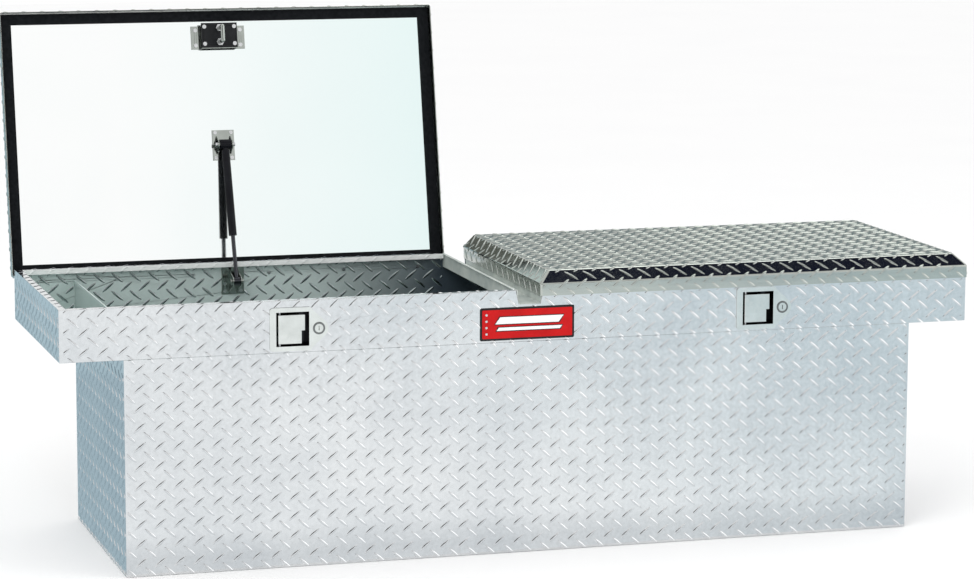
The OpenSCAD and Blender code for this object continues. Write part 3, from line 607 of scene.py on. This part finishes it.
back = flat_place((0, REAR_Y, 0), (-1, 0, 0), (0, 0, 1), (0, 1, 0))
panel("tread_tub_rear", back, [((TUB_ENDS[0], FOOT_GAP), (TUB_ENDS[1], WING_Z - SEAM_GAP))],
      (-752 * MM, 380 * MM))
panel("tread_rail_rear", back,
      [((-HALF_L + BEND, WING_Z + SEAM_GAP), (HALF_L - BEND, HINGE_LEAF_LOW))],
      (-770 * MM, 452 * MM))

inner = flat_place((0, REAR_Y - SHEET, 0), (1, 0, 0), (0, 0, 1), (0, -1, 0))
panel("tread_rail_inside", inner,
      [((-HALF_L + INNER_END, inner_low), (-HALF_TUB - INNER_GAP, inner_high)),
       ((-HALF_TUB + INNER_GAP, inner_low), (-NOTCH, inner_high)),
       ((NOTCH, inner_low), (HALF_TUB - INNER_GAP, inner_high)),
       ((HALF_TUB + INNER_GAP, inner_low), (HALF_L - INNER_END, inner_high))],
      (-775 * MM, 458 * MM), bracket_skips, INNER_TREAD_SHADED)

for side, label in ((-1, "left"), (1, "right")):
    tub_end = flat_place((side * HALF_TUB, 0, 0), (0, side, 0), (0, 0, 1), (side, 0, 0))
    panel(f"tread_tub_end_{label}", tub_end,
          [((FRONT_Y + BEND, FOOT_GAP), (REAR_Y - BEND, WING_Z - 3 * MM))],
          (10 * MM, 385 * MM))
    wing_end = flat_place((side * HALF_L, 0, 0), (0, side, 0), (0, 0, 1), (side, 0, 0))
    panel(f"tread_wing_end_{label}", wing_end,
          [((FRONT_Y + BEND, WING_Z + 2 * MM), (REAR_Y - BEND, top_z))],
          (4 * MM, 456 * MM), under_lid=True)

# the rim: the turned-down edge of the rear flange, then the top of all the flanges
RISE = RIM_BAR_H / BAR_H
rim_edge = flat_place((0, REAR_Y - FLANGE, 0), (1, 0, 0), (0, 0, 1), (0, -RISE, 0))
panel("tread_rim_edge", rim_edge,
      [((-HALF_L + INNER_END, RIM_Z - RIM_BAND), (-NOTCH, RIM_Z - 0.8 * MM)),
       ((NOTCH, RIM_Z - RIM_BAND), (HALF_L - INNER_END, RIM_Z - 0.8 * MM))],
      (-775 * MM, 500 * MM), bracket_skips)
rim_top = flat_place((0, 0, RIM_Z), (1, 0, 0), (0, 1, 0), (0, 0, RISE))
panel("tread_rim_top", rim_top,
      [((-HALF_L + FLANGE, FRONT_Y + BEND / 4), (-NOTCH, FRONT_Y + FLANGE - 1 * MM)),
       ((NOTCH, FRONT_Y + BEND / 4), (HALF_L - FLANGE, FRONT_Y + FLANGE - 1 * MM)),
       ((-HALF_L + FLANGE, REAR_Y - FLANGE + 1 * MM), (-NOTCH, REAR_Y - BEND / 4)),
       ((NOTCH, REAR_Y - FLANGE + 1 * MM), (HALF_L - FLANGE, REAR_Y - BEND / 4)),
       ((-HALF_L + 2 * MM, FRONT_Y + FLANGE),
        (-HALF_L + FLANGE - 1 * MM, REAR_Y - FLANGE)),
       ((HALF_L - FLANGE + 1 * MM, FRONT_Y + FLANGE),
        (HALF_L - 2 * MM, REAR_Y - FLANGE))],
      (-772 * MM, 0))

# ---------------------------------------------------------------- lids
X0, X1 = skin_low.x, skin_high.x
Y0, Y1 = skin_low.y, skin_high.y
TOP = skin_high.z
SKIRT = skin_low.z
BEVEL = 22 * MM
SLOPE = BEVEL * math.sqrt(2)
SKIRT_H = TOP - BEVEL - SKIRT
BEND_R = 6 * MM
BEND_STEPS = 5
REAR_R = 3 * MM
CORNER = 5 * MM
HEM_T = 1.8 * MM           # folded edge of the skirt, at the front and both ends
HEM_H = 7 * MM
HEM_CORNER = 2.2 * MM
HEM_STEP = 0.4 * MM
REAR_GAP = 4 * MM          # what belongs to the ends stops this far from the rear face
REAR_SKIRT = 490 * MM      # lower edge of the rear face, above the hinge
REAR_BARS_LOW = 510 * MM
TANGENT = BEND_R * math.tan(math.radians(22.5))
C45 = math.sqrt(0.5)
XA, XB = X0 + BEVEL, X1 - BEVEL    # the top's sharp edges
YA = Y0 + BEVEL
DEEP = SLOPE + SKIRT_H             # from such an edge to the skirt's lower edge, along the sheet


def lid_profile(s, h):
    """Outward shift and Z of a point at distance s from the top's sharp edge, along the sheet,
    and at height h above the sheet."""
    s, h = np.asarray(s, float), np.asarray(h, float)
    out = np.where(s < 0, s, np.where(s < SLOPE, s * C45 + h * C45, BEVEL + h))
    z = np.where(s < 0, TOP + h,
                 np.where(s < SLOPE, TOP - s * C45 + h * C45, TOP - BEVEL - (s - SLOPE)))
    for fold, centre, start in ((0.0, (-TANGENT, TOP - BEND_R), 0.0),
                                (SLOPE, (BEVEL - BEND_R, TOP - BEVEL - TANGENT), 45.0)):
        near = np.abs(s - fold) < TANGENT
        angle = np.radians(start + 45 * (s - fold + TANGENT) / (2 * TANGENT))
        out = np.where(near, centre[0] + (BEND_R + h) * np.sin(angle), out)
        z = np.where(near, centre[1] + (BEND_R + h) * np.cos(angle), z)
    return out, z


def place_top(p):
    """The lid's top in its own plane; rows near an edge follow that edge's bend."""
    x, y, h = p[:, 0], p[:, 1], p[:, 2]
    out_f, z_f = lid_profile(YA - y, h)
    out_l, z_l = lid_profile(XA - x, h)
    out_r, z_r = lid_profile(x - XB, h)
    z = np.minimum(np.minimum(z_f, z_l), z_r)
    new_x = np.where(x < XA + TANGENT, XA - out_l, np.where(x > XB - TANGENT, XB + out_r, x))
    return np.stack([new_x, np.where(y < YA + TANGENT, YA - out_f, y), z], 1)


def place_front(p):
    out, z = lid_profile(YA - p[:, 1], p[:, 2])
    return np.stack([p[:, 0], YA - out, z], 1)


def place_left(p):
    out, z = lid_profile(XA - p[:, 0], p[:, 2])
    return np.stack([XA - out, p[:, 1], z], 1)


def place_right(p):
    out, z = lid_profile(p[:, 0] - XB, p[:, 2])
    return np.stack([XB + out, p[:, 1], z], 1)


def place_rear(p):
    return np.stack([p[:, 0], Y1 + p[:, 2], TOP - (p[:, 1] - Y1)], 1)


def fold_lines(axis, edge, sign):
    """Extra cuts across the two bends of one edge, four for each, so that bars follow them."""
    lines = []
    for fold in (0.0, SLOPE):
        for share in (-1.0, -0.33, 0.33, 1.0):
            place = edge + sign * (fold + share * TANGENT)
            lines.append(((place, 0), (1, 0)) if axis == 0 else ((0, place), (0, 1)))
    return lines


LID_PHASE = (65.7 * MM, YA - 33.5 * MM)
MITRE_GAP = 1.2 * MM


def lid_bars(name, body, after):
    """Bars on all faces of a lid, cut where the sloped faces meet."""
    parts = []

    def region(low, high, planes, extra, place):
        bm = bars_mesh(lattice(low, high, LID_PHASE))
        cut(bm, planes, extra)
        parts.append((bm, place))

    # top: only the first bend of each edge crosses it
    low, high = (XA, YA), (XB, Y1 - REAR_R - 1 * MM)
    top_folds = (fold_lines(1, YA, -1)[:4] + fold_lines(0, XA, -1)[:4]
                 + fold_lines(0, XB, 1)[:4])
    region(low, high, rectangle(low, high), top_folds, place_top)
    # front: sloped band between its mitres, then the skirt
    slant = Vector((SLOPE, BEVEL)).normalized()
    region((X0, YA - SLOPE), (X1, YA),
           [((0, YA), (0, -1)), ((0, YA - SLOPE), (0, 1)),
            ((XA + MITRE_GAP, YA), (slant.x, slant.y)),
            ((XB - MITRE_GAP, YA), (-slant.x, slant.y))],
           fold_lines(1, YA, -1), place_front)
    region((X0, YA - DEEP), (X1, YA - SLOPE),
           rectangle((X0 + CORNER, YA - DEEP + EDGE_GAP), (X1 - CORNER, YA - SLOPE)),
           fold_lines(1, YA, -1), place_front)
    # both ends: the same, with one mitre at the front
    for edge, sign, place in ((XA, -1, place_left), (XB, 1, place_right)):
        near, far = sorted((edge, edge + sign * SLOPE))
        region((near, Y0), (far, Y1),
               [((edge, 0), (sign, 0)), ((edge + sign * SLOPE, 0), (-sign, 0)),
                ((edge, YA + MITRE_GAP), (sign * BEVEL / SLOPE, 1)),
                ((0, Y1 - REAR_GAP), (0, -1))],
               fold_lines(0, edge, sign), place)
        near, far = sorted((edge + sign * SLOPE, edge + sign * (DEEP - EDGE_GAP)))
        region((near, Y0), (far, Y1), rectangle((near, Y0 + CORNER), (far, Y1 - REAR_GAP)),
               fold_lines(0, edge, sign), place)
    # rear face, with its upper corners cut along the bevels
    low = (X0 + REAR_GAP, Y1 + REAR_GAP)
    high = (X1 - REAR_GAP, Y1 + (TOP - REAR_BARS_LOW))
    corners = [((XA + 2 * MM, Y1), (1, 1)), ((XB - 2 * MM, Y1), (-1, 1))]
    region(low, high, rectangle(low, high) + corners, [], place_rear)
    return finish_bars(name, parts, LID, body, after)


def lid_ring(shift, z, rear, radius, rear_z=None):
    """One ring of the lid skin: a rectangle with round corners, set in by shift at three sides
    and by rear at the rear, where rear_z can give it another level."""
    xa, xb, ya, yb = X0 + shift, X1 - shift, Y0 + shift, Y1 - rear
    points = []
    for cx, cy, start in ((xb - radius, yb - radius, 0), (xa + radius, yb - radius, 90),
                          (xa + radius, ya + radius, 180), (xb - radius, ya + radius, 270)):
        for k in range(BEND_STEPS + 1):
            angle = math.radians(start + 90 * k / BEND_STEPS)
            y = cy + radius * math.sin(angle)
            level = z if rear_z is None or y < Y1 - REAR_GAP else rear_z
            points.append((cx + radius * math.cos(angle), y, level))
    return points


def lid_shell(depth):
    """Rings of the sheet's face at a depth under its outside, from the skirt's edge to the top."""
    radius = BEND_R - depth
    rings = [lid_ring(depth, SKIRT, depth, CORNER - depth, REAR_SKIRT)]
    for k in range(BEND_STEPS + 1):
        angle = math.radians(90 - 45 * k / BEND_STEPS)
        rings.append(lid_ring(BEND_R - radius * math.sin(angle),
                              TOP - BEVEL - TANGENT + radius * math.cos(angle),
                              depth, CORNER - depth))
    for k in range(BEND_STEPS + 1):
        angle = math.radians(45 - 45 * k / BEND_STEPS)
        fall = REAR_R * (1 - math.cos(math.radians(90 * k / BEND_STEPS)))
        rings.append(lid_ring(BEVEL + TANGENT - radius * math.sin(angle),
                              TOP - BEND_R + radius * math.cos(angle),
                              depth + fall, CORNER - depth))
    return rings


def lid_skin(name, body, after):
    """The bent sheet: skirt, sloped band and top, with rounded bends and an open underside."""
    hem = [lid_ring(HEM_T, SKIRT, SHEET, HEM_CORNER, REAR_SKIRT),
           lid_ring(HEM_T, SKIRT + HEM_H, SHEET, HEM_CORNER),
           lid_ring(SHEET, SKIRT + HEM_H + HEM_STEP, SHEET, HEM_CORNER)]
    rings = lid_shell(0.0)[::-1] + hem + lid_shell(SHEET)[1:]
    count = len(rings[0])
    last = (len(rings) - 1) * count
    faces = [tuple(range(count))]
    for i in range(len(rings) - 1):
        for j in range(count):
            a, b = i * count + j, i * count + (j + 1) % count
            faces.append((a, a + count, b + count, b))
    faces.append(tuple(last + j for j in reversed(range(count))))
    verts = np.array([p for ring in rings for p in ring])
    if after is not None:
        verts = after(verts)
    obj = add_piece(name, verts, faces, LID, body)
    obj.data.shade_smooth()
    obj.modifiers.new("normals", "WEIGHTED_NORMAL").keep_sharp = False
    return obj


for label, after in (("right", None), ("left", closed_to_left)):
    body = f"lid_{label}"
    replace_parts(lid_skin(f"lid_sheet_{label}", body, after), f"lid_skin_{label}")
    lid_bars(f"lid_tread_{label}", body, after)


# ---------------------------------------------------------------- badge: plain slanted bars
def plate_xz(name, outline, y_back, y_front, material, bevel):
    """An outline in X and Z with thickness along Y."""
    count = len(outline)
    verts = [(x, y_back, z) for x, z in outline] + [(x, y_front, z) for x, z in outline]
    faces = [tuple(range(count)), tuple(range(2 * count - 1, count - 1, -1))]
    faces += [(i, i + count, (i + 1) % count + count, (i + 1) % count) for i in range(count)]
    obj = add_piece(name, verts, faces, material, "body")
    soft = obj.modifiers.new("edge", "BEVEL")
    soft.width = bevel
    soft.segments = 2
    return obj


face_low, face_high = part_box("badge_face")
cx = (face_low.x + face_high.x) / 2 + 4 * MM
cz = (face_low.z + face_high.z) / 2
LEAN, LEAN_OVER = 6 * MM, 8 * MM       # the bars' ends lean this far over this height
OUTLINE_X, OUTLINE_Z = 2 * MM, 1.6 * MM
FIELD_HALF = 62 * MM
y_back = face_low.y + 0.2 * MM
for i, (middle_z, thick) in enumerate(((6.5, 6.5), (-9.5, 3.0))):
    z, thick = cz + middle_z * MM, thick * MM
    lean = LEAN * thick / LEAN_OVER
    outline = [(cx - FIELD_HALF - lean, z - thick), (cx + FIELD_HALF - lean, z - thick),
               (cx + FIELD_HALF + lean, z + thick), (cx - FIELD_HALF + lean, z + thick)]
    plate_xz(f"badge_field_{i}", outline, y_back, face_low.y - 0.35 * MM, WHITE,
             0.12 * MM)
    shade = [(corner_x + OUTLINE_X * (1 if corner_x > cx else -1),
              corner_z + OUTLINE_Z * (1 if corner_z > z else -1))
             for corner_x, corner_z in outline]
    plate_xz(f"badge_outline_{i}", shade, y_back, face_low.y - 0.15 * MM, BADGE,
             0.05 * MM)

# ---------------------------------------------------------------- camera
camera = bpy.data.objects.new("camera", bpy.data.cameras.new("camera"))
scene.collection.objects.link(camera)
camera.data.sensor_width = 36
camera.data.lens = 127.0
camera.data.clip_end = 100
yaw, pitch, roll = (math.radians(a) for a in (16.66, -8.91, 0.18))
forward = Vector((math.sin(yaw) * math.cos(pitch), math.cos(yaw) * math.cos(pitch),
                  math.sin(pitch)))
level = forward.cross(Vector((0, 0, 1))).normalized()
above = level.cross(forward)
right = math.cos(roll) * level + math.sin(roll) * above
above = math.cos(roll) * above - math.sin(roll) * level
turn = Matrix((right, above, -forward)).transposed().to_4x4()
camera.matrix_world = Matrix.Translation((-1.8926, -6.2995, 1.4931)) @ turn
scene.camera = camera

# ---------------------------------------------------------------- studio
scene.view_settings.view_transform = "Standard"
scene.view_settings.look = "None"
world = bpy.data.worlds.new("studio")
scene.world = world
world.use_nodes = True
sky = world.node_tree.nodes["Background"]
sky.inputs["Color"].default_value = (1, 1, 1, 1)
sky.inputs["Strength"].default_value = 1.0


def quad(name, corners):
    """A flat piece of the studio."""
    mesh = bpy.data.meshes.new(name)
    mesh.from_pydata(corners, [], [(0, 1, 2, 3)])
    obj = bpy.data.objects.new(name, mesh)
    scene.collection.objects.link(obj)
    return obj


paper = Nodes("floor_paper")
paper.colour(paper.ramp(paper.noise(2.0, 2), [(0.3, (0.965, 0.965, 0.967)),
                                              (0.7, (0.975, 0.975, 0.975))]))
paper.set(Roughness=0.95, Specular_IOR_Level=0.1)
FLOOR_HALF = 14
FLOOR_Z = -0.0006
floor = quad("floor", [(x * FLOOR_HALF, y * FLOOR_HALF, FLOOR_Z)
                       for x, y in ((-1, -1), (1, -1), (1, 1), (-1, 1))])
floor.data.materials.append(paper.mat)


def card(name, centre, facing, width, height, colour, fades=()):
    """A studio card that only shows in reflections. fades are (axis, start, end, colour at start,
    colour at end); the card's colour is multiplied by each."""
    centre, facing = Vector(centre), Vector(facing)
    n = (facing - centre).normalized()
    across = Vector((0, 0, 1)).cross(n)
    across = across.normalized() if across.length > 0.01 else Vector((1, 0, 0))
    up = n.cross(across)
    a, b = across * width / 2, up * height / 2
    obj = quad(name, [centre - a - b, centre + a - b, centre + a + b, centre - a + b])
    m = Nodes(name)
    m.tree.nodes.remove(m.bsdf)
    glow = m.tree.nodes.new("ShaderNodeEmission")
    shade = m.ramp(m.noise(1.5, 1), [(0.2, [c * 0.98 for c in colour]), (0.8, colour)])
    for axis, start, end, first, last in fades:
        fade = m.ramp(m.range(m.axis(axis), 0, 1, start, end), [(0.0, first), (1.0, last)])
        shade = m.mix(1.0, shade, fade, "MULTIPLY")
    m.link(shade, glow.inputs["Color"])
    m.link(glow.outputs["Emission"], m.tree.nodes["Material Output"].inputs["Surface"])
    obj.data.materials.append(m.mat)
    obj.visible_camera = False
    obj.visible_diffuse = False
    obj.visible_shadow = False
    obj.visible_transmission = False
    obj.visible_volume_scatter = False


middle = (0, 0, 0.45)
card("card_overhead", (1.7, -1.25, 4.2), middle, 3.4, 2.0, (0.012, 0.015, 0.035))
card("card_overhead_bright", (1.5, 1.25, 4.2), middle, 3.4, 1.9, (2.5, 2.55, 2.5))
card("card_upper_left", (-1.85, -3.3, 2.0), (-0.3, 0, 0.3), 2.2, 1.4, (0.004, 0.005, 0.006))
card("card_front_low", (0.1, -3.3, 0.93), (0.1, 0, 0.93), 2.6, 0.42, (0.004, 0.005, 0.006))
card("card_right_bright", (3.1, -2.3, 1.6), middle, 2.2, 1.8, (1.9, 1.9, 1.9))
card("card_rear", (1.4, 5.2, 1.0), (1.0, 0, 0.6), 9.0, 1.9, (0.26, 0.31, 0.315))
card("card_rear_dark", (-0.45, 2.6, 1.2), middle, 1.2, 0.7, (0.16, 0.17, 0.15))
card("card_rear_left", (-1.5, 1.5, 0.5), (-0.8, 0.2, 0.3), 2.2, 1.6, (0.47, 0.62, 0.69))
card("card_floor_left", (-1.886, 1.5, 0.004), (-1.886, 1.5, 1.0), 2.23, 3.5, (0.42, 0.55, 0.62))
white = (1.0, 1.0, 1.0)
card("card_floor_front", (0.9, -2.3, 0.003), (0.9, -2.3, 1.0), 6.2, 4.08, (1.15, 1.18, 1.19),
     [(0, 0.1, 1.6, white, (0.67, 0.76, 0.80)),
      (1, -0.58, -0.36, white, (0.8, 0.81, 0.82))])


def light(name, place, target, width, height, power, colour):
    """A soft area light, hidden from reflections."""
    data = bpy.data.lights.new(name, "AREA")
    data.shape = "RECTANGLE"
    data.size, data.size_y = width, height
    data.energy = power
    data.color = colour
    obj = bpy.data.objects.new(name, data)
    scene.collection.objects.link(obj)
    obj.location = place
    obj.rotation_euler = (Vector(target) - Vector(place)).to_track_quat("-Z", "Y").to_euler()
    obj.visible_glossy = False


light("key", (-2.4, -3.0, 3.6), middle, 2.4, 2.4, 60, (1, 0.99, 0.97))
light("fill", (3.0, -2.6, 2.2), middle, 2.0, 2.0, 25, (0.96, 0.98, 1))
